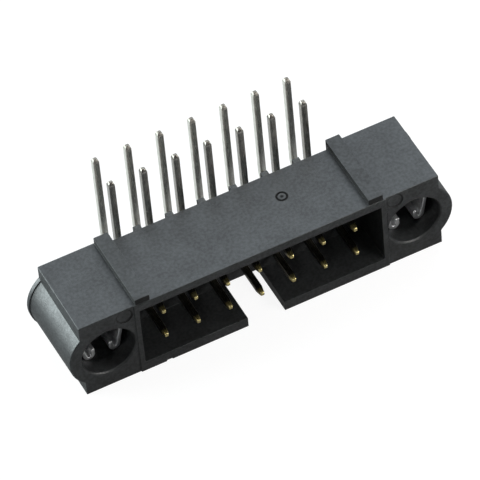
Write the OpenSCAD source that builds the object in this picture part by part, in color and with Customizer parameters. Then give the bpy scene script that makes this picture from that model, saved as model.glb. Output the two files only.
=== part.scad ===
// Right-angle shrouded pin connector with two rows of contacts on a 2 mm grid.
// X runs along the contact rows and -Y is the side that the mating half plugs into.
// +Z is the side that faces the circuit board, where the contact tails point. The part lies on its
// flat underside at Z = 0. X = 0 and Y = 0 are the middle of its overall width and depth.

/* [Contacts] */

// Number of contact columns along the row
columns = 7; // [3:1:12]
// Spacing of the columns
pitch = 2; // [1.8:0.05:2.6]
// Distance between the upper and the lower row of pins
pin_row_gap = 2; // [1.8:0.05:2.4]
// Distance between the near and the far row of board tails
tail_row_gap = 2; // [1.6:0.05:3]
// Side of the square contact wire
wire_w = 0.38; // [0.3:0.02:0.5]
// Play between the wire and its hole in the housing, on each side
wire_play = 0.01; // [0.005:0.005:0.03]
// Inside radius of the bend in the wire
bend_r = 0.3; // [0.2:0.05:0.5]
// Distance of the pin tips behind the front of the housing
pin_recess = 0.25; // [0.05:0.05:0.8]
// Length of the taper at the tip of a pin
pin_taper = 0.5; // [0.3:0.05:0.8]
// Width left at the tip of a pin
pin_tip_w = 0.22; // [0.1:0.02:0.28]
// Distance from the back of the housing to the middle of the near row of tails
near_tail_gap = 0.76; // [0.6:0.01:1.2]
// Length of the tails above the board face of the ribs
tail_l = 3; // [2:0.1:4.5]
// Length of the taper at the tip of a tail
tail_taper = 0.22; // [0.1:0.02:0.4]
// Width left at the tip of a tail
tail_tip_w = 0.2; // [0.1:0.02:0.28]

/* [Housing] */

// Height of the housing from its underside to its top face
body_h = 5.6; // [5.3:0.05:7]
// Depth of the housing from the front of its shroud to its back
body_d = 5.36; // [4.9:0.01:8]
// Distance that the shroud round the mouth stands out in front of the end blocks
shroud_step = 0.07; // [0.03:0.01:0.15]
// Width of the side of the shroud, from the mouth to that step
shroud_side = 0.3; // [0.2:0.05:0.3]
// Depth of the mouth round the pins
mouth_d = 2.92; // [2.4:0.01:3.6]
// Thickness of the wall above the mouth
top_wall = 0.57; // [0.4:0.01:0.8]
// Thickness of the wall below the mouth
bottom_wall = 0.72; // [0.4:0.01:0.8]
// Distance from the last column to the side of the mouth
mouth_margin = 1.55; // [1.2:0.05:2]
// Width of the polarising slot in the wall below the mouth
slot_w = 2.3; // [1.4:0.1:2.8]
// Distance that the slot reaches in past the back of the mouth
slot_reach = 0.65; // [0.3:0.05:1]
// Depth of the pocket in the back, where the contacts leave the housing
back_pocket = 0.35; // [0.2:0.05:0.5]
// Thickness of the dividers between the columns in that pocket
divider_w = 0.45; // [0.3:0.05:0.8]
// Distance of a divider from the middle between its columns, towards -X
divider_offset = 0.1; // [0:0.05:0.2]
// Distance of the tops of the dividers below the top face
divider_drop = 0.05; // [0:0.01:0.2]

/* [Stand-off ribs] */

// Distance from the last column to the middle of a rib
rib_offset = 1.28; // [1:0.02:1.6]
// Width of a rib
rib_w = 0.9; // [0.6:0.05:1.2]
// Height of a rib above the top face
rib_h = 0.4; // [0.2:0.05:0.8]

/* [Ends] */

// Radius of the round bore in each end
bore_r = 1.63; // [1.5:0.01:1.75]
// Distance of the axis of the bore below the middle of the housing's height
bore_drop = 0.06; // [0:0.02:0.2]
// Wall between the side of the mouth and the bore
web = 0.42; // [0.35:0.01:0.8]
// Depth of the bore
bore_d = 4.1; // [3.4:0.1:4.3]
// Chamfer round the rim of the bore
bore_chamfer = 0.1; // [0.05:0.01:0.15]
// Distance from the axis of the bore to the flat end of the housing
end_reach = 1.63; // [1.2:0.01:2]
// Radius of the round boss on each end, at its front
boss_r = 2.42; // [2.2:0.01:2.5]
// Growth of that radius towards the back, the draft of the mould
boss_draft = 0.06; // [0:0.01:0.08]
// Chamfer round the front edge of the boss
boss_chamfer = 0.06; // [0.02:0.02:0.1]
// Step from the boss out to the lip round its back edge
boss_lip_step = 0.08; // [0.04:0.01:0.12]
// Width of that lip
boss_lip_w = 0.28; // [0.1:0.02:0.5]

/* [Ejector marks] */

// Radius of the round ejector mark on the front of each end
mark_r = 0.5; // [0.3:0.05:0.5]
// Depth of the mark
mark_d = 0.07; // [0.03:0.01:0.12]
// Distance of the mark below the top face, to its centre
mark_drop = 0.56; // [0.52:0.01:0.6]
// Distance of the mark from the axis of the bore, towards the mouth
mark_inset = 1.15; // [1:0.05:1.2]

/* [Mould ring] */

// Radius of the ring that the mould leaves in the top face, to the middle of its groove
ring_r = 0.3; // [0.2:0.05:0.5]
// Width of the groove
ring_w = 0.09; // [0.05:0.01:0.15]
// Depth of the groove
ring_d = 0.04; // [0.02:0.01:0.08]
// Distance of the ring from the middle of the mouth, towards +X
ring_offset = 2.93; // [0:0.05:4]
// Distance of the ring behind the front
ring_inset = 3.14; // [2.5:0.01:4]

/* [Nick in the lower lip] */

// Width of the nick in the front edge of the wall below the mouth
nick_w = 0.35; // [0.2:0.05:0.8]
// Height of the nick
nick_h = 0.08; // [0.05:0.01:0.3]
// Depth of the nick
nick_d = 0.55; // [0.2:0.05:1]
// Distance of the nick from the middle of the mouth, towards -X
nick_offset = 6.1; // [2:0.05:7]

/* [Latch clips] */

// Thickness of the spring strip
strip_t = 0.24; // [0.16:0.01:0.26]
// Width of the strip, along the bore
strip_w = 1.4; // [1:0.05:1.6]
// Depth of the lip of the bore in front of the clip
lip_d = 1.1; // [0.9:0.05:1.2]
// Depth of the groove that the clip springs into, beyond the wall of the bore
groove_depth = 0.12; // [0.05:0.01:0.2]
// Play of the clip in its groove, round it and at each side
clip_play = 0.03; // [0.01:0.01:0.05]
// Angle from the top of the clip to each end of its arch
arch_half = 56; // [52:1:60]
// Radius of the bend where a leg leaves the arch, to the middle of the strip
knee_r = 0.25; // [0.2:0.01:0.35]
// Angle at which the legs lean inwards
leg_lean = 11; // [8:1:16]
// Length of the straight part of a leg
leg_l = 1.81; // [1.5:0.01:1.84]
// Radius of the hook at the tip of a leg, to the middle of the strip
hook_r = 0.235; // [0.2:0.005:0.25]
// Straight length past the hook
hook_end = 0.38; // [0.1:0.01:0.5]

/* [Hidden] */

$fn = 64;
// Overrun of cuts past a face
over = 0.2;
// Overlap of joined stretches of strip
seam = 0.01;

// Along X
last_column_x = (columns - 1) / 2 * pitch;
mouth_half = last_column_x + mouth_margin;
shroud_half = mouth_half + shroud_side;
bore_x = mouth_half + web + bore_r;
end_x = bore_x + end_reach;
rib_x = last_column_x + rib_offset;
pocket_half = rib_x - rib_w / 2;

// Along Y
overall_d = body_d + near_tail_gap + tail_row_gap + wire_w / 2;
front_y = -overall_d / 2;
block_y = front_y + shroud_step;
back_y = front_y + body_d;
pin_tip_y = front_y + pin_recess;
near_tail_y = back_y + near_tail_gap;
far_tail_y = near_tail_y + tail_row_gap;
mid_y = front_y + body_d / 2;

// Along Z
mid_z = body_h / 2;
bore_z = mid_z - bore_drop;
upper_pin_z = mid_z + pin_row_gap / 2;
lower_pin_z = mid_z - pin_row_gap / 2;
board_z = body_h + rib_h;
tail_tip_z = board_z + tail_l;

// Latch clip, about the axis of the bore
groove_r = bore_r + groove_depth;
arch_r = groove_r - clip_play - strip_t / 2;
groove_w = strip_w + 2 * clip_play;
clip_y = block_y + lip_d + clip_play;

function column_x(i) = (i - 1) * pitch - last_column_x;

// A box from its lowest to its highest corner
module block(low, high) {
    translate(low) cube(high - low);
}

// A round solid along +Y, from its profile of [radius, distance] points
module turned_y(x, y, z, profile) {
    translate([x, y, z]) rotate([-90, 0, 0]) rotate_extrude() polygon(profile);
}

// Housing

module end_boss(x) {
    back_r = boss_r + boss_draft;
    lip_r = back_r + boss_lip_step;
    boss_l = back_y - block_y;
    turned_y(x, block_y, bore_z, [
        [0, 0],
        [boss_r - boss_chamfer, 0],
        [boss_r, boss_chamfer],
        [back_r, boss_l - boss_lip_w],
        [lip_r, boss_l - boss_lip_w],
        [lip_r, boss_l],
        [0, boss_l]
    ]);
}

module stand_off_rib(x) {
    block([x - rib_w / 2, block_y, mid_z], [x + rib_w / 2, back_y, board_z]);
}

module end_bore(x) {
    turned_y(x, block_y, bore_z, [
        [0, -over],
        [bore_r + bore_chamfer, -over],
        [bore_r + bore_chamfer, 0],
        [bore_r, bore_chamfer],
        [bore_r, lip_d],
        [groove_r, lip_d],
        [groove_r, lip_d + groove_w],
        [bore_r, lip_d + groove_w],
        [bore_r, bore_d],
        [0, bore_d]
    ]);
}

module ejector_mark(x) {
    translate([x, block_y + mark_d, body_h - mark_drop]) rotate([90, 0, 0])
        cylinder(r = mark_r, h = mark_d + over);
}

module mould_ring() {
    translate([ring_offset, front_y + ring_inset, body_h - ring_d]) difference() {
        cylinder(r = ring_r + ring_w / 2, h = ring_d + over);
        translate([0, 0, -over]) cylinder(r = ring_r - ring_w / 2, h = ring_d + 3 * over);
    }
}

module wire_hole(x, z) {
    half = wire_w / 2 + wire_play;
    block([x - half, front_y, z - half], [x + half, back_y + over, z + half]);
}

module housing() {
    color([0.23, 0.25, 0.26]) difference() {
        union() {
            block([-end_x, block_y, 0], [end_x, back_y, body_h]);
            block([-shroud_half, front_y, 0], [shroud_half, mid_y, body_h]);
            for (side = [-1, 1]) {
                end_boss(side * bore_x);
                stand_off_rib(side * rib_x);
            }
        }
        // Mouth, and the polarising slot in the wall below it, which reaches in under the back wall
        block([-mouth_half, front_y - over, bottom_wall],
              [mouth_half, front_y + mouth_d, body_h - top_wall]);
        block([-slot_w / 2, front_y - over, -over],
              [slot_w / 2, front_y + mouth_d + slot_reach, bottom_wall]);
        block([-slot_w / 2, front_y - over, bottom_wall / 2],
              [slot_w / 2, front_y + mouth_d, bottom_wall + over]);
        // Nick in the front edge below the mouth
        block([-nick_offset - nick_w / 2, front_y - over, -over],
              [-nick_offset + nick_w / 2, front_y + nick_d, nick_h]);
        // Pocket in the back, which leaves a divider between each two columns
        difference() {
            block([-pocket_half, back_y - back_pocket, -over],
                  [pocket_half, back_y + over, board_z + over]);
            for (i = [1:columns - 1])
                translate([column_x(i) + pitch / 2 - divider_offset - divider_w / 2, front_y, 0])
                    cube([divider_w, body_d, body_h - divider_drop]);
        }
        for (i = [1:columns], z = [upper_pin_z, lower_pin_z]) wire_hole(column_x(i), z);
        for (side = [-1, 1]) {
            end_bore(side * bore_x);
            ejector_mark(side * (bore_x - mark_inset));
        }
        mould_ring();
    }
}

// Contacts

// One wire, drawn from the side and cut to its width: a pin towards -Y, a bend, and a tail towards +Z
module contact_side(tail_y, pin_z) {
    half = wire_w / 2;
    outer_r = bend_r + wire_w;
    bend_y = tail_y + half - outer_r;
    bend_z = pin_z - half + outer_r;
    polygon([
        [pin_tip_y, pin_z - pin_tip_w / 2],
        [pin_tip_y + pin_taper, pin_z - half],
        [bend_y, pin_z - half],
        [bend_y, pin_z + half],
        [pin_tip_y + pin_taper, pin_z + half],
        [pin_tip_y, pin_z + pin_tip_w / 2]
    ]);
    intersection() {
        difference() {
            translate([bend_y, bend_z]) circle(r = outer_r);
            translate([bend_y, bend_z]) circle(r = bend_r);
        }
        translate([bend_y, bend_z - outer_r]) square(outer_r);
    }
    polygon([
        [tail_y - half, bend_z],
        [tail_y + half, bend_z],
        [tail_y + half, tail_tip_z - tail_taper],
        [tail_y + tail_tip_w / 2, tail_tip_z],
        [tail_y - tail_tip_w / 2, tail_tip_z],
        [tail_y - half, tail_tip_z - tail_taper]
    ]);
}

// The two side cuts that taper an end of the wire across its width. The end is at the origin and
// the wire runs along +X of this drawing
module side_taper(taper, tip_w) {
    slope = (wire_w - tip_w) / 2 / taper;
    for (side = [-1, 1])
        polygon([
            [taper, side * wire_w / 2],
            [-over, side * (tip_w / 2 - slope * over)],
            [-over, side * (wire_w / 2 + over)],
            [taper, side * (wire_w / 2 + over)]
        ]);
}

module contact(x, tail_y, pin_z) {
    color([0.78, 0.77, 0.72]) translate([x, 0, 0]) difference() {
        rotate([90, 0, 90]) translate([0, 0, -wire_w / 2])
            linear_extrude(wire_w) contact_side(tail_y, pin_z);
        translate([0, pin_tip_y, pin_z - wire_w]) rotate([0, 0, 90])
            linear_extrude(2 * wire_w) side_taper(pin_taper, pin_tip_w);
        translate([0, tail_y - wire_w, tail_tip_z]) rotate([0, 90, 90])
            linear_extrude(2 * wire_w) side_taper(tail_taper, tail_tip_w);
    }
}

// Latch clips

// A stretch of strip on an arc, from one angle to a higher one
module strip_arc(r, from, to) {
    reach = 2 * (r + strip_t);
    middle = (from + to) / 2;
    intersection() {
        difference() {
            circle(r = r + strip_t / 2);
            circle(r = r - strip_t / 2);
        }
        polygon([
            [0, 0],
            [reach * cos(from), reach * sin(from)],
            [reach * cos(middle), reach * sin(middle)],
            [reach * cos(to), reach * sin(to)]
        ]);
    }
}

// Half of the clip seen from the front: half of the arch, the knee, the leg and the hook
module clip_half() {
    knee_angle = 90 - arch_half;
    strip_arc(arch_r, knee_angle - seam, 90 + seam);
    rotate(knee_angle) translate([arch_r - knee_r, 0]) rotate(-knee_angle) {
        strip_arc(knee_r, -leg_lean, knee_angle);
        rotate(-leg_lean) translate([knee_r, 0]) {
            translate([-strip_t / 2, -leg_l - seam]) square([strip_t, leg_l + 2 * seam]);
            translate([-hook_r, -leg_l]) {
                strip_arc(hook_r, leg_lean - 180, 0);
                rotate(leg_lean) translate([-hook_r - strip_t / 2, -seam])
                    square([strip_t, hook_end + seam]);
            }
        }
    }
}

module latch_clip(side) {
    color([0.72, 0.73, 0.74]) translate([side * bore_x, clip_y + strip_w, bore_z]) rotate([90, 0, 0])
        linear_extrude(strip_w) {
            clip_half();
            mirror([1, 0]) clip_half();
        }
}

housing();
for (i = [1:columns]) {
    contact(column_x(i), near_tail_y, upper_pin_z);
    contact(column_x(i), far_tail_y, lower_pin_z);
}
latch_clip(-1);  // left_latch_clip
latch_clip(1);  // right_latch_clip
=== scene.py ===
# Right-angle board connector: the finished surfaces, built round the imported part
import math

import bmesh
import bpy
import numpy as np
from mathutils import Matrix, Vector


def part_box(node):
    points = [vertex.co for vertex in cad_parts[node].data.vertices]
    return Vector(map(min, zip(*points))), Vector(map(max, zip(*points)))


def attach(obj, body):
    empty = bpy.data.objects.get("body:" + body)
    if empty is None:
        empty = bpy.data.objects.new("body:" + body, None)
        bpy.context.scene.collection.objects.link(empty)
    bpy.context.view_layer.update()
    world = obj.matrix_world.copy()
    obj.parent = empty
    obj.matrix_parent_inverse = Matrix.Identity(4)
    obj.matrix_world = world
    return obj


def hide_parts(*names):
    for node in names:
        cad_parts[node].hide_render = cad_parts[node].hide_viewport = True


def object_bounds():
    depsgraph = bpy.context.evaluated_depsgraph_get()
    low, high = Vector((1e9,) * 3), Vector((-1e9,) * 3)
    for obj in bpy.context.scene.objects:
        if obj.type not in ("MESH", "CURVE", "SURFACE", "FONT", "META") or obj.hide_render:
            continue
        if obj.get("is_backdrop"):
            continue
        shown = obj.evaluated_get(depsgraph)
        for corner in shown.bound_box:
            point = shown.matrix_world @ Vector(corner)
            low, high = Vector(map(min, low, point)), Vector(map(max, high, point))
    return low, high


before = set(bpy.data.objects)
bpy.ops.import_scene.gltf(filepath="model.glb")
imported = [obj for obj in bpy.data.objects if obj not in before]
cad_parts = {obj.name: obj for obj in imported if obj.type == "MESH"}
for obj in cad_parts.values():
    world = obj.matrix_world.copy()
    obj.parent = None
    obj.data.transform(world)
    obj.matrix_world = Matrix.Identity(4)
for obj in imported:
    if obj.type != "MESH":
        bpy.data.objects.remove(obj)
cad_low, cad_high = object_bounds()

# Camera
# The connector is seen from above and a little from its left, through a long lens that is held
# slightly off level. view_width is the stretch of the part's middle plane that fills the picture.
MM = 0.001
azimuth = math.radians(-22.47)
elevation = math.radians(48.65)
roll = math.radians(-5.86)
aim = Vector((-0.170, -1.776, 4.427)) * MM
distance = 295.7 * MM
view_width = 26.813 * MM
sensor_width = 36
nearest_shown = distance / 20

camera = bpy.data.objects.new("camera", bpy.data.cameras.new("camera"))
bpy.context.scene.collection.objects.link(camera)
camera.matrix_world = (
    Matrix.Translation(aim)
    @ Matrix.Rotation(azimuth, 4, "Z")
    @ Matrix.Rotation(math.pi / 2 - elevation, 4, "X")
    @ Matrix.Rotation(roll, 4, "Z")
    @ Matrix.Translation((0, 0, distance))
)
camera.data.sensor_width = sensor_width
camera.data.lens = sensor_width * distance / view_width
camera.data.clip_start = nearest_shown
bpy.context.scene.camera = camera

# Housing
# One moulding of black, glass-filled thermoplastic, which carries the contacts and the clips. The
# mould leaves its edges rounded and its skin matte, with fibre grain and flow marks, a ring in the
# top face and an ejector mark on the front of each end. The ring, its middle, the edge of each
# ejector mark and the side walls of the ribs are darkened with painted shade. Sizes are in millimetres.
front_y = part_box("housing")[0].y / MM
back_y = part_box("housing")[1].y / MM
rib_top_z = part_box("housing")[1].z / MM
top_z = rib_top_z - 0.4
mouth_half, shroud_half = 7.55, 7.85
block_y = front_y + 0.07
mouth_back = front_y + 2.92
bottom_wall = 0.72
pocket_half, pocket_d = 6.83, 0.35
bore_x, bore_z, bore_r = 9.6, 2.74, 1.63
boss_r = 2.42
mark_x, mark_z, mark_r = 8.45, 5.04, 0.5
ring_x, ring_y, ring_r = 2.93, front_y + 3.14, 0.3
near, around = 0.05, 0.2
main_rounding = 0.05


def merged_copy(source):
    """The triangles of a CAD node with equal corners joined and each flat area made one face."""
    same_place = 0.0001 * MM
    flat = math.radians(0.3)
    shape = bmesh.new()
    shape.from_mesh(source.data)
    bmesh.ops.remove_doubles(shape, verts=shape.verts, dist=same_place)
    bmesh.ops.dissolve_limit(shape, angle_limit=flat, verts=shape.verts, edges=shape.edges)
    return shape


def rounding(middle, angle):
    """The rounding radius of each edge in millimetres, from its middle and the angle across it.

    The facets of round walls stay as they are, small features get small radii by their distance
    from the axis of the feature, and every other edge gets the radius of the mould's main edges."""
    x, y, z = middle.T
    side = np.abs(x)
    from_bore = np.hypot(side - bore_x, z - bore_z)
    from_mark = np.hypot(side - mark_x, z - mark_z)
    from_ring = np.hypot(x - ring_x, y - ring_y)
    at_front = y < block_y + near
    at_top = np.abs(z - top_z) < near
    in_pocket = side < pocket_half - near
    in_mouth = side < mouth_half + near
    rules = {
        "facets of round walls": (angle < math.radians(12), 0),
        "ring in the top face": ((from_ring < ring_r + around) & (z > top_z - around), 0.012),
        "ejector marks": ((from_mark < mark_r + near) & (y < front_y + around), 0.02),
        "bores": (from_bore < bore_r + around, 0.025),
        "bosses": ((np.abs(from_bore - boss_r) < around) & (side > bore_x), 0.02),
        "pocket in the back": (in_pocket & (y > back_y - pocket_d - near), 0.018),
        "back of the mouth": (in_mouth & (np.abs(y - mouth_back) < near), 0.008),
        "tops of the ribs": (z > rib_top_z - near, 0.015),
        "underside": (z < near, 0.018),
        "feet of the ribs": (at_top & ~in_pocket & (side < shroud_half - near), 0.006),
        "step of the shroud": (at_front & (np.abs(side - shroud_half) < near), 0.02),
        "lower lip of the mouth": (at_front & in_mouth & (z < bottom_wall + near), 0.015),
        "front edges of top and ribs": (at_front & (z > top_z - near), 0.04),
    }
    places, radii = zip(*rules.values())
    return np.select(places, radii, main_rounding)


shape = merged_copy(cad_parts["housing"])
middles = np.array([(edge.verts[0].co + edge.verts[1].co) / 2 for edge in shape.edges]) / MM
angles = np.array([edge.calc_face_angle(0) for edge in shape.edges])
radii = rounding(middles, angles)
mesh = bpy.data.meshes.new("housing_moulding")
shape.to_mesh(mesh)
shape.free()
mesh.polygons.foreach_set("use_smooth", np.ones(len(mesh.polygons), bool))
weights = mesh.attributes.new("bevel_weight_edge", "FLOAT", "EDGE")
weights.data.foreach_set("value", (radii / radii.max()).astype(np.float32))

housing = bpy.data.objects.new("housing_moulding", mesh)
bpy.context.scene.collection.objects.link(housing)


def node(tree, kind, inputs=None, **settings):
    """A shader node with its settings, and its inputs set to values or joined to other sockets."""
    made = tree.nodes.new("ShaderNode" + kind)
    for name, value in settings.items():
        setattr(made, name, value)
    for name, value in (inputs or {}).items():
        if isinstance(value, bpy.types.NodeSocket):
            tree.links.new(value, made.inputs[name])
        else:
            made.inputs[name].default_value = value
    return made


def calculated(tree, operation, *values, **settings):
    """The result of a Math node with the given values or sockets."""
    return node(tree, "Math", dict(enumerate(values)), operation=operation, **settings).outputs[0]


def rescaled(tree, value, start, end, low, high):
    """Low where the value is at start, high where it is at end, and even steps between."""
    ends = {"Value": value, "From Min": start, "From Max": end, "To Min": low, "To Max": high}
    return node(tree, "MapRange", ends).outputs["Result"]


def mixed_values(tree, share, first, second):
    """The first value where the share is 0, and the second where it is 1."""
    values = {"Factor": share, "A": first, "B": second}
    return node(tree, "Mix", values, data_type="FLOAT").outputs["Result"]


def mixed_colours(tree, share, first, second):
    """The first colour where the share is 0, and the second where it is 1."""
    colour_a, colour_b, mixed = 6, 7, 2
    colours = {"Factor": share, colour_a: first, colour_b: second}
    return node(tree, "Mix", colours, data_type="RGBA").outputs[mixed]


def new_group(name, inputs, outputs):
    """A shader group with the named sockets, as the group, its input sockets and its output node."""
    group = bpy.data.node_groups.new(name, "ShaderNodeTree")
    for label, kind in inputs.items():
        group.interface.new_socket(label, in_out="INPUT", socket_type="NodeSocket" + kind)
    for label, kind in outputs.items():
        group.interface.new_socket(label, in_out="OUTPUT", socket_type="NodeSocket" + kind)
    return group, group.nodes.new("NodeGroupInput").outputs, group.nodes.new("NodeGroupOutput")


def use_group(tree, group, inputs, output):
    """An output of a shader group that is placed in a material, with its inputs set or joined."""
    return node(tree, "Group", inputs, node_tree=group).outputs[output]


def new_material(name):
    """A material with only a Principled shader, as the material, its tree and that shader."""
    material = bpy.data.materials.new(name)
    material.use_nodes = True
    tree = material.node_tree
    tree.nodes.clear()
    shader = node(tree, "BsdfPrincipled")
    node(tree, "OutputMaterial", {"Surface": shader.outputs[0]})
    return material, tree, shader


def dress(tree, shader, colour, roughness, normal):
    """Joins the colour, the roughness and the bumps of a surface to its shader."""
    tree.links.new(colour, shader.inputs["Base Color"])
    tree.links.new(roughness, shader.inputs["Roughness"])
    tree.links.new(normal, shader.inputs["Normal"])


# Patches of a given size for the skin of a plastic or a plating: smooth noise about its middle
# value, with its contrast raised.
patches, given, result = new_group(
    "patches", {"Vector": "Vector", "Size": "Float", "Contrast": "Float"}, {"Value": "Float"}
)
noise_middle = 0.5
scale = calculated(patches, "DIVIDE", 1.0, given["Size"])
noise = node(patches, "TexNoise", {"Vector": given["Vector"], "Scale": scale, "Detail": 3.0})
centred = calculated(patches, "SUBTRACT", noise.outputs[0], noise_middle)
raised = calculated(
    patches, "MULTIPLY_ADD", centred, given["Contrast"], noise_middle, use_clamp=True
)
patches.links.new(raised, result.inputs["Value"])

# Rubbed edges: the mask of the edges, broken up by patches.
edge_wear, given, result = new_group(
    "edge_wear",
    {"Edge": "Float", "Vector": "Vector", "Size": "Float", "Amount": "Float"},
    {"Mask": "Float"},
)
spots = {"Vector": given["Vector"], "Size": given["Size"], "Contrast": 3.0}
broken = use_group(edge_wear, patches, spots, "Value")
worn = calculated(edge_wear, "MULTIPLY", broken, given["Amount"])
mask = calculated(edge_wear, "MULTIPLY", worn, given["Edge"])
edge_wear.links.new(mask, result.inputs["Mask"])

# Painted shade along a round mark: 1 at the radius from its centre, fading to 0 on both sides.
ring_shade, given, result = new_group(
    "ring_shade",
    {"Vector": "Vector", "Centre": "Vector", "Radius": "Float", "Half Width": "Float"},
    {"Mask": "Float"},
)
full_share, faded_share = 0.6, 1.4
away = node(ring_shade, "VectorMath", {0: given["Vector"], 1: given["Centre"]}, operation="DISTANCE")
beyond = calculated(ring_shade, "SUBTRACT", away.outputs["Value"], given["Radius"])
off_line = calculated(ring_shade, "ABSOLUTE", beyond)
share = calculated(ring_shade, "DIVIDE", off_line, given["Half Width"])
mask = rescaled(ring_shade, share, full_share, faded_share, 1.0, 0.0)
ring_shade.links.new(mask, result.inputs["Mask"])

dark_skin, light_skin = (0.0080, 0.0086, 0.0090, 1), (0.0320, 0.0345, 0.0360, 1)
# The black on the next line is painted shade for the ring, the ejector marks and the rib walls; the
# rubbed colour is wear.
rubbed_skin, painted_shade_skin = (0.042, 0.046, 0.048, 1), (0.0, 0.0, 0.0, 1)
# The last roughness on the next line is that of the painted shade.
dark_roughness, light_roughness, painted_shade_roughness = 0.49, 0.39, 0.95
duller_ribs = 0.10
mottle_share = 0.62
# How strongly painted shade darkens the ejector marks and the side walls of the ribs.
mark_painted_shade, rib_wall_painted_shade = 0.6, 0.85
rib_foot_z, rib_edge_z = top_z + 0.02, top_z + 0.37
mark_line_r = mark_r - 0.02

plastic, tree, shader = new_material("black_glass_filled_plastic")
place = node(tree, "TexCoord").outputs["Object"]
clouds = {"Vector": place, "Size": 1.3 * MM, "Contrast": 3.4}
mottle = {"Vector": place, "Size": 0.18 * MM, "Contrast": 3.8}
fibres = {"Vector": place, "Size": 0.05 * MM, "Contrast": 2.0}
clouds, mottle, fibres = (use_group(tree, patches, kind, "Value") for kind in (clouds, mottle, fibres))
tone = mixed_values(tree, mottle_share, clouds, mottle)
skin = mixed_colours(tree, tone, dark_skin, light_skin)
edge = node(tree, "Attribute", attribute_name="edge").outputs["Fac"]
wear = {"Edge": edge, "Vector": place, "Size": 0.5 * MM, "Amount": 0.6}
colour = mixed_colours(tree, use_group(tree, edge_wear, wear, "Mask"), skin, rubbed_skin)

# Painted shade: a dark line along the groove of the ring, a dark dot in its middle and a dark circle
# along the edge of each ejector mark, where shade falls in these recesses.
either_side = node(tree, "VectorMath", {0: place}, operation="ABSOLUTE").outputs[0]
ring_centre = (ring_x * MM, ring_y * MM, top_z * MM)
mark_centre = (mark_x * MM, -block_y * MM, mark_z * MM)
ring = {"Vector": place, "Centre": ring_centre, "Radius": ring_r * MM, "Half Width": 0.07 * MM}
dot = {"Vector": place, "Centre": ring_centre, "Radius": 0.0, "Half Width": 0.10 * MM}
mark = {"Vector": either_side, "Centre": mark_centre, "Radius": mark_line_r * MM, "Half Width": 0.05 * MM}
ring, dot, mark = (use_group(tree, ring_shade, kind, "Mask") for kind in (ring, dot, mark))
mark = calculated(tree, "MULTIPLY", mark, mark_painted_shade)
painted_shade_mask = calculated(tree, "MAXIMUM", calculated(tree, "MAXIMUM", ring, dot), mark)

# Painted shade: the side walls of the ribs, between their foot and their top, are darkened towards black.
place_z = node(tree, "SeparateXYZ", {0: place}).outputs[2]
over_foot = calculated(tree, "GREATER_THAN", place_z, rib_foot_z * MM)
on_rib = calculated(tree, "GREATER_THAN", place_z, rib_edge_z * MM)
rib_wall_shade = calculated(tree, "SUBTRACT", over_foot, on_rib)
rib_wall_shade = calculated(tree, "MULTIPLY", rib_wall_shade, rib_wall_painted_shade)
painted_shade_mask = calculated(tree, "MAXIMUM", painted_shade_mask, rib_wall_shade)
# The painted shade is mixed into the colour here, and into the roughness below.
painted_shade_colour = mixed_colours(tree, painted_shade_mask, colour, painted_shade_skin)
roughness = rescaled(tree, tone, 0.0, 1.0, dark_roughness, light_roughness)
roughness = calculated(tree, "MULTIPLY_ADD", on_rib, duller_ribs, roughness)
roughness = mixed_values(tree, painted_shade_mask, roughness, painted_shade_roughness)
grain = node(tree, "Bump", {"Height": fibres, "Distance": 0.004 * MM, "Strength": 1.0})
dress(tree, shader, painted_shade_colour, roughness, grain.outputs[0])


def finish_modifiers(obj):
    """Puts the result of an object's modifiers into its mesh."""
    bpy.context.view_layer.update()
    evaluated = obj.evaluated_get(bpy.context.evaluated_depsgraph_get())
    finished = bpy.data.meshes.new_from_object(evaluated)
    obj.modifiers.clear()
    obj.data = finished


# The rounded faces get the second material slot, from which their mask is made. Then it goes.
housing.data.materials.append(plastic)
housing.data.materials.append(plastic)
bevel = housing.modifiers.new("rounded edges", "BEVEL")
bevel.limit_method = "WEIGHT"
bevel.width = radii.max() * MM
bevel.segments = 2
bevel.use_clamp_overlap = False
bevel.material = 1
flats = housing.modifiers.new("flat shading", "WEIGHTED_NORMAL")
flats.keep_sharp = False
finish_modifiers(housing)

faces = len(housing.data.polygons)
on_edge = np.zeros(faces, np.int32)
housing.data.polygons.foreach_get("material_index", on_edge)
housing.data.polygons.foreach_set("material_index", np.zeros(faces, np.int32))
housing.data.materials.pop()
edge_mask = housing.data.attributes.new("edge", "FLOAT", "FACE")
edge_mask.data.foreach_set("value", on_edge.astype(np.float32))
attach(housing, "root")
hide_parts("housing")

# Contacts
# Square copper-alloy wire, cut and coined to a blunt point at both ends, bent once and pressed into
# the housing. It is nickel-plated, with gold on the tip of the mating pin and bright tin on the
# tail for the board, whose end is pinched. The nickel is painted nearly black, as painted shade from
# the dark shroud, and the end of each tail is painted darker in two steps, as painted shade.
wire_w, wire_corner = 0.38, 0.036
bend_r = 0.3
pin_taper, pin_tip_w = 0.5, 0.22
tail_taper, tail_tip_w = 0.22, 0.2
tip_rounding = 0.05


def section(half_a, half_b, corner):
    """Rounded rectangles, one for each row of the half sizes, as offsets along two axes.

    Each corner is a quarter circle of the given radius about a point that lies that radius inside
    both sides. The third array is how far a point is into the corner, 1 at the middle of its arc."""
    steps = 4
    turn = np.linspace(0, math.pi / 2, steps)
    phi = (np.arange(4)[:, None] * math.pi / 2 + turn).ravel()
    quarter = np.repeat(np.arange(4), steps) * math.pi / 2 + math.pi / 4
    a = np.sign(np.cos(quarter)) * (half_a - corner)[:, None] + corner * np.cos(phi)
    b = np.sign(np.sin(quarter)) * (half_b - corner)[:, None] + corner * np.sin(phi)
    return a, b, np.tile(np.sin(2 * turn), 4)


def nose_inset(from_end, radius):
    """How far a side has drawn in near a rounded end: the gap between a circle and its tangent."""
    inside = radius - np.minimum(from_end, radius)
    return radius - np.sqrt(radius**2 - inside**2)


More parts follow.
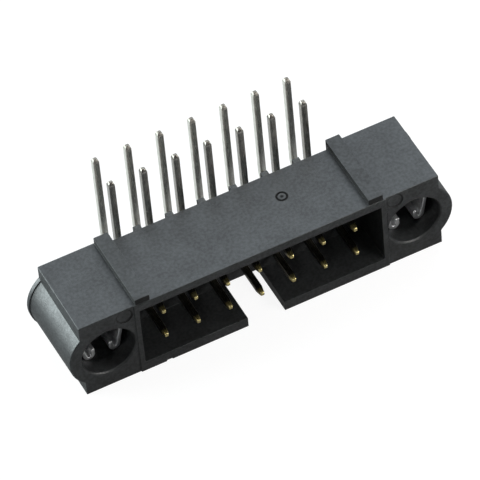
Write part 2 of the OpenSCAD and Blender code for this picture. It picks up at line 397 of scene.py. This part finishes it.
def tube(name, centre, axis_a, axis_b, along, a, b, into_corner):
    """A closed tube, whose rings are centre + a * axis_a + b * axis_b at each station.

    A fan of triangles closes each end. The UV map holds the distance along the tube and round it,
    both in millimetres, and the edge attribute how far each point is into a corner."""
    stations, around_it = a.shape
    rings = centre[:, None] + a[..., None] * axis_a[:, None] + b[..., None] * axis_b[:, None]
    points = np.vstack([rings.reshape(-1, 3), rings[0].mean(0), rings[-1].mean(0)]) * MM
    i, j = np.meshgrid(np.arange(stations - 1), np.arange(around_it), indexing="ij")
    k = (j + 1) % around_it
    low, high = i * around_it, (i + 1) * around_it
    quads = np.stack([low + j, high + j, high + k, low + k], -1).reshape(-1, 4)
    this, following = np.arange(around_it), (np.arange(around_it) + 1) % around_it
    last = (stations - 1) * around_it
    start_middle = np.full(around_it, stations * around_it)
    start_fan = np.stack([start_middle, this, following], -1)
    end_fan = np.stack([start_middle + 1, last + following, last + this], -1)
    made = bpy.data.meshes.new(name)
    made.from_pydata(points.tolist(), [], quads.tolist() + start_fan.tolist() + end_fan.tolist())
    made.polygons.foreach_set("use_smooth", np.ones(len(made.polygons), bool))

    widest_a, widest_b = a[stations // 2], b[stations // 2]
    step = np.hypot(
        np.diff(widest_a, append=widest_a[:1]), np.diff(widest_b, append=widest_b[:1])
    )
    round_it = np.concatenate([[0], np.cumsum(step)])
    u = np.stack([along[i], along[i + 1], along[i + 1], along[i]], -1)
    v = np.stack([round_it[j], round_it[j], round_it[j + 1], round_it[j + 1]], -1)
    quad_uv = np.stack([u, v], -1).reshape(-1, 2)
    fan_v = np.stack([round_it[:-1], round_it[:-1], round_it[1:]], -1).ravel()
    start_uv = np.stack([np.full(3 * around_it, along[0]), fan_v], -1)
    end_uv = np.stack([np.full(3 * around_it, along[-1]), fan_v], -1)
    layer = made.uv_layers.new(name="along")
    layer.data.foreach_set("uv", np.vstack([quad_uv, start_uv, end_uv]).ravel())
    corners = np.concatenate([np.tile(into_corner, stations), [0, 0]])
    made.attributes.new("edge", "FLOAT", "POINT").data.foreach_set("value", corners)
    return made


def contact_mesh(name, x, tail_y, pin_z, tip_y, tip_z):
    """A wire along +Y, then round a quarter bend, then along +Z, with both ends tapered.

    With s the distance along its middle line, the heading turns with s over the bend, and y and z
    are the sine and cosine of that heading on top of the two straight lengths."""
    middle_r = bend_r + wire_w / 2
    pin_l = tail_y - middle_r - tip_y
    bend_l = middle_r * math.pi / 2
    tail_l = tip_z - pin_z - middle_r
    whole = pin_l + bend_l + tail_l
    nose = tip_rounding * np.array([0, 0.3, 1])
    past_taper = 0.06
    along = np.concatenate(
        [
            nose,
            np.linspace(pin_taper / 2, pin_taper, 3),
            np.linspace(pin_taper + past_taper, pin_l, 8),
            pin_l + np.linspace(0, bend_l, 9)[1:],
            pin_l + bend_l + np.linspace(0, tail_l - tail_taper - past_taper, 8)[1:],
            whole - np.linspace(tail_taper, tip_rounding, 3)[:-1],
            whole - nose[::-1],
        ]
    )
    heading = np.clip((along - pin_l) / middle_r, 0, math.pi / 2)
    zero = np.zeros_like(along)
    y = tip_y + np.minimum(along, pin_l) + middle_r * np.sin(heading)
    z = pin_z + middle_r * (1 - np.cos(heading)) + np.maximum(along - pin_l - bend_l, 0)
    centre = np.stack([zero + x, y, z], -1)
    upright = np.stack([zero, -np.sin(heading), np.cos(heading)], -1)
    sideways = np.stack([zero + 1, zero, zero], -1)
    pin_half = np.interp(along, [0, pin_taper], [pin_tip_w / 2, wire_w / 2])
    tail_half = np.interp(whole - along, [0, tail_taper], [tail_tip_w / 2, wire_w / 2])
    inset = nose_inset(np.minimum(along, whole - along), tip_rounding)
    half = np.minimum(pin_half, tail_half) - inset
    a, b, into_corner = section(half, half, wire_corner)
    return tube(name, centre, sideways, upright, along, a, b, into_corner)


# Lines that drawing or rolling leaves along a metal: noise with long steps along the piece and
# short ones across it.
drawn_lines, given, result = new_group(
    "drawn_lines", {"Vector": "Vector", "Length": "Float", "Spacing": "Float"}, {"Value": "Float"}
)
parts = node(drawn_lines, "SeparateXYZ", {0: given["Vector"]}).outputs
run = calculated(drawn_lines, "DIVIDE", parts[0], given["Length"])
across = calculated(drawn_lines, "DIVIDE", parts[1], given["Spacing"])
joined = node(drawn_lines, "CombineXYZ", {0: run, 1: across}).outputs[0]
lines = node(drawn_lines, "TexNoise", {"Vector": joined, "Scale": 1.0, "Detail": 2.0})
drawn_lines.links.new(lines.outputs[0], result.inputs["Value"])

gold_tones = (0.66, 0.54, 0.20, 1), (0.82, 0.71, 0.33, 1)
# These nickel tones are painted shade: far darker than nickel, so that the pin bodies look as dark as
# they do inside the shroud.
shaded_nickel_tones = (0.13, 0.12, 0.09, 1), (0.19, 0.18, 0.14, 1)
tin_tones = (0.70, 0.675, 0.625, 1), (0.90, 0.875, 0.82, 1)
# These two colours are painted shade on the end of each tail, darker towards its tip.
tin_in_tip_shade, painted_end_shade = (0.30, 0.285, 0.26, 1), (0.14, 0.125, 0.105, 1)
rubbed_plating = (0.90, 0.88, 0.82, 1)
gold_l, gold_gone = 0.26, 0.42
tail_from_y = 0.0
end_z = cad_high.z / MM
tip_shade_from, tip_shade_to = end_z - 0.26, end_z - 0.18
end_shade_from, end_shade_to = end_z - 0.07, end_z - 0.02
smooth_plating, dull_plating = 0.22, 0.34
duller_far_row = 0.20
far_row_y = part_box("lower_contact_1")[1].y / MM - wire_w

plating, tree, shader = new_material("gold_and_tin_plating")
place = node(tree, "TexCoord").outputs["Object"]
along_wire = node(tree, "UVMap", uv_map="along").outputs[0]
from_tip = node(tree, "SeparateXYZ", {0: along_wire}).outputs[0]
place_y, place_z = node(tree, "SeparateXYZ", {0: place}).outputs[1:3]
stains = {"Vector": place, "Size": 0.35 * MM, "Contrast": 2.0}
tone = use_group(tree, patches, stains, "Value")
drawing = {"Vector": along_wire, "Length": 1.6, "Spacing": 0.05}
drawn = use_group(tree, drawn_lines, drawing, "Value")
gold, shaded_nickel, tin = (
    mixed_colours(tree, tone, *tones) for tones in (gold_tones, shaded_nickel_tones, tin_tones)
)
is_gold = rescaled(tree, from_tip, gold_l, gold_gone, 1.0, 0.0)
is_tail = calculated(tree, "GREATER_THAN", place_y, tail_from_y)
# Painted shade: the end of each tail darkens in two steps towards its tip.
in_tip_shade = rescaled(tree, place_z, tip_shade_from * MM, tip_shade_to * MM, 0.0, 1.0)
in_end_shade = rescaled(tree, place_z, end_shade_from * MM, end_shade_to * MM, 0.0, 1.0)
tail = mixed_colours(tree, in_tip_shade, tin, tin_in_tip_shade)
tail = mixed_colours(tree, in_end_shade, tail, painted_end_shade)
behind_tip = mixed_colours(tree, is_tail, shaded_nickel, tail)
finish = mixed_colours(tree, is_gold, behind_tip, gold)
edge = node(tree, "Attribute", attribute_name="edge").outputs["Fac"]
wear = {"Edge": edge, "Vector": place, "Size": 0.4 * MM, "Amount": 0.5}
colour = mixed_colours(tree, use_group(tree, edge_wear, wear, "Mask"), finish, rubbed_plating)
is_far = calculated(tree, "GREATER_THAN", place_y, far_row_y * MM)
roughness = rescaled(tree, drawn, 0.0, 1.0, smooth_plating, dull_plating)
roughness = calculated(tree, "MULTIPLY_ADD", is_far, duller_far_row, roughness)
ridges = node(tree, "Bump", {"Height": drawn, "Distance": 0.0008 * MM, "Strength": 1.0})
dress(tree, shader, colour, roughness, ridges.outputs[0])
shader.inputs["Metallic"].default_value = 1.0

for row in ("upper", "lower"):
    for column in range(1, 8):
        cad_name = f"{row}_contact_{column}"
        low, high = (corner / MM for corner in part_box(cad_name))
        piece_mesh = contact_mesh(
            f"{row}_wire_{column}",
            (low.x + high.x) / 2,
            high.y - wire_w / 2,
            low.z + wire_w / 2,
            low.y,
            high.z,
        )
        wire = bpy.data.objects.new(piece_mesh.name, piece_mesh)
        bpy.context.scene.collection.objects.link(wire)
        wire.data.materials.append(plating)
        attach(wire, "root")
        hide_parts(cad_name)

# Latch clips
# A strip of spring steel, sheared to width and rolled into an arch with two legs that lean in and
# end in hooks. It sits in the groove of an end bore and grips the post of the mating half.
strip_t, strip_w, strip_corner, strip_end = 0.24, 1.4, 0.032, 0.04
groove_r, clip_play = 1.75, 0.03
arch_r = groove_r - clip_play - strip_t / 2
arch_half = math.radians(56)
knee_r, leg_lean, leg_l = 0.25, math.radians(11), 1.81
hook_r, hook_end = 0.235, 0.38


def clip_mesh(name, middle_x, middle_y):
    """The strip from the tip of one hook, round the arch, to the tip of the other.

    Half of it starts at the top of the arch and always turns the same way: down the arch, more
    sharply on the knee, not at all on the leg, and on the hook until it points up. A point is the
    sum of the chords before it, and the other half is its mirror image."""
    knee_turn = math.pi / 2 + leg_lean - arch_half
    hook_turn = math.pi - leg_lean
    lengths = [arch_r * arch_half, knee_r * knee_turn, leg_l, hook_r * hook_turn, hook_end]
    turns = [arch_half, knee_turn, 0, hook_turn, 0]
    steps = [24, 8, 4, 16, 3]
    step_l = np.repeat(np.divide(lengths, steps), steps)
    step_turn = np.repeat(np.divide(turns, steps), steps)
    heading = np.concatenate([[0], -np.cumsum(step_turn)])
    between = (heading[1:] + heading[:-1]) / 2
    chord = step_l * np.sinc(step_turn / 2 / math.pi)
    x = np.concatenate([[0], np.cumsum(chord * np.cos(between))])
    z = np.concatenate([[0], np.cumsum(chord * np.sin(between))]) + arch_r
    run = np.concatenate([[0], np.cumsum(step_l)])
    x = np.concatenate([-x[:0:-1], x])
    z = np.concatenate([z[:0:-1], z])
    heading = np.concatenate([-heading[:0:-1], heading])
    along = np.concatenate([run[-1] - run[:0:-1], run[-1] + run])

    nose = strip_end * np.array([0, 0.3, 1])
    station = np.sort(np.concatenate([nose, along[1:-1], along[-1] - nose]))
    x, z, heading = (np.interp(station, along, value) for value in (x, z, heading))
    inset = nose_inset(np.minimum(station, along[-1] - station), strip_end)
    a, b, into_corner = section(strip_t / 2 - inset, strip_w / 2 - inset, strip_corner)
    zero = np.zeros_like(station)
    centre = np.stack([middle_x + x, zero + middle_y, bore_z + z], -1)
    outward = np.stack([-np.sin(heading), zero, np.cos(heading)], -1)
    sideways = np.stack([zero, zero + 1, zero], -1)
    return tube(name, centre, outward, sideways, station, a, b, into_corner)


dark_steel, light_steel = (0.74, 0.75, 0.76, 1), (0.90, 0.91, 0.92, 1)
rubbed_steel = (0.85, 0.86, 0.87, 1)
smooth_steel, dull_steel = 0.36, 0.50

steel, tree, shader = new_material("rolled_spring_steel")
place = node(tree, "TexCoord").outputs["Object"]
along_strip = node(tree, "UVMap", uv_map="along").outputs[0]
rolling = {"Vector": along_strip, "Length": 1.2, "Spacing": 0.035}
rolled = use_group(tree, drawn_lines, rolling, "Value")
stains = {"Vector": place, "Size": 0.5 * MM, "Contrast": 2.0}
skin = mixed_colours(tree, use_group(tree, patches, stains, "Value"), dark_steel, light_steel)
edge = node(tree, "Attribute", attribute_name="edge").outputs["Fac"]
wear = {"Edge": edge, "Vector": place, "Size": 0.3 * MM, "Amount": 0.7}
colour = mixed_colours(tree, use_group(tree, edge_wear, wear, "Mask"), skin, rubbed_steel)
roughness = rescaled(tree, rolled, 0.0, 1.0, smooth_steel, dull_steel)
ridges = node(tree, "Bump", {"Height": rolled, "Distance": 0.003 * MM, "Strength": 1.0})
dress(tree, shader, colour, roughness, ridges.outputs[0])
shader.inputs["Metallic"].default_value = 1.0

for cad_name in ("left_latch_clip", "right_latch_clip"):
    low, high = (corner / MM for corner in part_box(cad_name))
    piece_mesh = clip_mesh(
        cad_name.replace("latch", "spring"), (low.x + high.x) / 2, (low.y + high.y) / 2
    )
    clip = bpy.data.objects.new(piece_mesh.name, piece_mesh)
    bpy.context.scene.collection.objects.link(clip)
    clip.data.materials.append(steel)
    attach(clip, "root")
    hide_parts(cad_name)

# Floor
# A plain white sheet under the part. The camera sees it white with a soft shadow, the metal mirrors
# it as pale grey, and it throws only part of the light back up on the part.
floor_half, floor_gap = 60.0, 0.01
seen_shade, seen_glow = 0.16, 0.90
mirrored_shade, mirrored_glow = 0.20, 0.17
lighting_shade = 0.45

corners = [(-1, -1), (1, -1), (1, 1), (-1, 1)]
floor_mesh = bpy.data.meshes.new("floor")
floor_mesh.from_pydata(
    [(x * floor_half * MM, y * floor_half * MM, -floor_gap * MM) for x, y in corners],
    [],
    [(0, 1, 2, 3)],
)
floor = bpy.data.objects.new("floor", floor_mesh)
bpy.context.scene.collection.objects.link(floor)
floor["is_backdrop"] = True


def seen_directly(tree):
    """1 for a ray from the camera or from a glossy or clear surface, and 0 for any other."""
    ray = node(tree, "LightPath").outputs
    first = calculated(tree, "MAXIMUM", ray["Is Camera Ray"], ray["Is Glossy Ray"])
    return calculated(tree, "MAXIMUM", first, ray["Is Transmission Ray"])


def grey_diffuse(tree, level):
    """A matte grey surface."""
    return node(tree, "BsdfDiffuse", {"Color": (level, level, level, 1)}).outputs[0]


def glowing(tree, shade, glow):
    """A matte grey surface that also gives off a plain white of its own."""
    white = node(tree, "Emission", {"Color": (1, 1, 1, 1), "Strength": glow}).outputs[0]
    return node(tree, "AddShader", {0: grey_diffuse(tree, shade), 1: white}).outputs[0]


sheet = bpy.data.materials.new("white_sheet")
sheet.use_nodes = True
tree = sheet.node_tree
tree.nodes.clear()
camera_ray = node(tree, "LightPath").outputs["Is Camera Ray"]
seen = glowing(tree, seen_shade, seen_glow)
mirrored = glowing(tree, mirrored_shade, mirrored_glow)
white = node(tree, "MixShader", {0: camera_ray, 1: mirrored, 2: seen}).outputs[0]
dull = grey_diffuse(tree, lighting_shade)
either = node(tree, "MixShader", {0: seen_directly(tree), 1: dull, 2: white}).outputs[0]
node(tree, "OutputMaterial", {"Surface": either})
floor.data.materials.append(sheet)

# Light
# A white surround, darker on the camera's side, with four soft lamps: one behind and above, which
# the top face mirrors to the camera, one behind and low on the left for the round boss, a small one
# close to the right of the front for the pins and the bores, and a weak one behind the camera.
backdrop_direction = (0.15, 1.0, 0.0)
darkest_at, white_from = -0.7, 0.2
darkest, lighting_share = 0.07, 0.45

world = bpy.data.worlds.new("surround")
world.use_nodes = True
bpy.context.scene.world = world
tree = world.node_tree
tree.nodes.clear()
looking = node(tree, "TexCoord").outputs["Generated"]
behind = node(tree, "VectorMath", {0: looking, 1: backdrop_direction}, operation="DOT_PRODUCT")
backdrop = rescaled(tree, behind.outputs["Value"], darkest_at, white_from, darkest, 1.0)
camera_ray = node(tree, "LightPath").outputs["Is Camera Ray"]
shown = mixed_values(tree, camera_ray, backdrop, 1.0)
lighting = calculated(tree, "MULTIPLY", backdrop, lighting_share)
level = mixed_values(tree, seen_directly(tree), lighting, shown)
surround = node(tree, "Background", {"Color": (1, 1, 1, 1), "Strength": level})
node(tree, "OutputWorld", {"Surface": surround.outputs[0]})


def soft_light(name, towards, away, width, height, radiance, colour):
    """A flat lamp on the line from the part in the given direction, which faces the part.

    Its power is the radiance that a mirror would show, times pi and its area. Sizes are in metres."""
    lamp = bpy.data.lights.new(name, "AREA")
    lamp.shape = "RECTANGLE"
    lamp.size, lamp.size_y = width, height
    lamp.energy = radiance * math.pi * width * height
    lamp.color = colour
    holder = bpy.data.objects.new(name, lamp)
    direction = Vector(towards).normalized()
    holder.location = direction * away
    holder.rotation_euler = direction.to_track_quat("Z", "Y").to_euler()
    bpy.context.scene.collection.objects.link(holder)


soft_light("top_light", (0.31, 0.60, 0.73), 0.45, 0.42, 0.42, 1.74, (0.75, 0.89, 1.0))
soft_light("side_light", (-0.76, 0.60, 0.22), 0.45, 0.45, 0.28, 11.0, (0.87, 0.99, 1.0))
soft_light("front_light", (0.60, -0.63, 0.51), 0.07, 0.041, 0.019, 10.0, (1.0, 0.98, 0.95))
soft_light("fill_light", (-0.25, -0.61, 0.75), 0.45, 0.30, 0.30, 0.5, (1.0, 0.98, 0.95))

bpy.context.scene.view_settings.view_transform = "Standard"

low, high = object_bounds()
